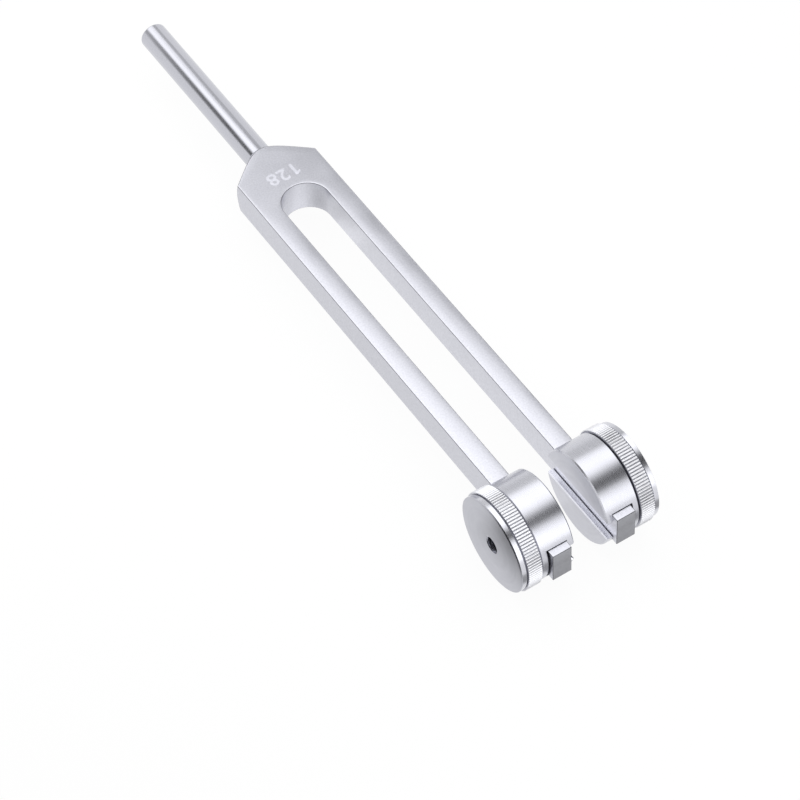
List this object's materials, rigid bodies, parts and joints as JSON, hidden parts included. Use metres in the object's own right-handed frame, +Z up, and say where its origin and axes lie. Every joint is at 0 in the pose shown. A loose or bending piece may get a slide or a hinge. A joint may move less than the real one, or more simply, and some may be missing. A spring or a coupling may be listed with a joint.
{
  "type": "tuning fork",
  "caption": "Flat metal tuning fork on a round stem, with slotted drum weights that slide along its tines and are clamped by knurled screw knobs.",
  "frame": {"origin": "under the middle of the fork, level with the lowest point of the knurled knobs", "axes": "+X across the tines to the right one, +Y along the fork from the tine tips to the stem, +Z up out of the fork's flat face"},
  "size_m": [0.0402, 0.211, 0.0268],
  "materials": {
    "blasted_fork": "fine bead-blasted satin with bright edges",
    "polished_stem": "polished",
    "turned_weight": "polished round, finely turned flat faces",
    "knurled_knob": "straight knurl beside a polished band, satin outer face",
    "stud_steel": "plain machined"
  },
  "bodies": {
    "fork": {"fork_body": "blasted_fork", "stem": "polished_stem"},
    "left_weight": {"left_weight_drum": "turned_weight"},
    "left_stud": {"left_clamp_stud": "stud_steel"},
    "left_knob": {"left_clamp_knob": "knurled_knob"},
    "right_weight": {"right_weight_drum": "turned_weight"},
    "right_stud": {"right_clamp_stud": "stud_steel"},
    "right_knob": {"right_clamp_knob": "knurled_knob"}
  },
  "joints": [
    {"name": "left_weight_slide", "type": "slide", "parent": "fork", "child": "left_weight", "axis": [0, 1, 0], "range_m": [-0.027, 0.1]},
    {"name": "left_clamp_advance", "type": "slide", "parent": "left_weight", "child": "left_stud", "axis": [-1, 0, 0], "range_m": [0, 0.0016]},
    {"name": "left_clamp_turn", "type": "hinge", "parent": "left_stud", "child": "left_knob", "pos_m": [-0.017, -0.0915, 0.0134], "axis": [-1, 0, 0], "range_deg": [0, 720]},
    {"name": "right_weight_slide", "type": "slide", "parent": "fork", "child": "right_weight", "axis": [0, 1, 0], "range_m": [-0.027, 0.1]},
    {"name": "right_clamp_advance", "type": "slide", "parent": "right_weight", "child": "right_stud", "axis": [1, 0, 0], "range_m": [0, 0.0016]},
    {"name": "right_clamp_turn", "type": "hinge", "parent": "right_stud", "child": "right_knob", "pos_m": [0.017, -0.0915, 0.0134], "axis": [1, 0, 0], "range_deg": [0, 720]}
  ],
  "couplings": [
    {"joint": "left_clamp_advance", "follows": "left_clamp_turn", "m_per_rad": 0.00012732},
    {"joint": "right_clamp_advance", "follows": "right_clamp_turn", "m_per_rad": 0.00012732}
  ]
}
